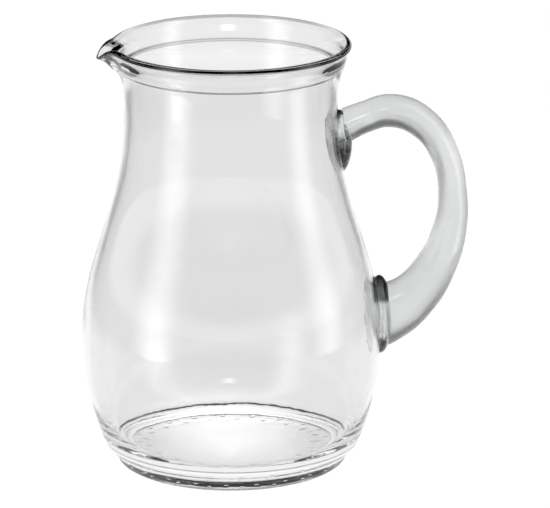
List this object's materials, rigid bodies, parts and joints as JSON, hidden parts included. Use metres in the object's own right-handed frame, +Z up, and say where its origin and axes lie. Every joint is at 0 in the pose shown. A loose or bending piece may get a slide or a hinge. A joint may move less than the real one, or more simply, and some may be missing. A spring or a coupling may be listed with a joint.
{
  "type": "glass water jug",
  "caption": "Clear glass water jug with a pear-shaped body, flared collar, pinched pouring lip, footed base and a solid glass handle fused on at two seals.",
  "frame": {"origin": "on the surface the jug stands on, under the middle of its outline; the body's own axis is 20.6 mm from it towards -X", "axes": "+Z up along the body's axis; +X from the pouring lip to the handle; the XZ plane is the jug's plane of symmetry"},
  "size_m": [0.1808, 0.1396, 0.2],
  "materials": {
    "body_glass": "clear, fire-polished",
    "handle_glass": "clear, hand-drawn",
    "seal_glass": "clear, fused"
  },
  "bodies": {
    "root": {"glass_body": "body_glass", "handle": "handle_glass", "upper_handle_seal": "seal_glass", "lower_handle_seal": "seal_glass"}
  },
  "joints": []
}
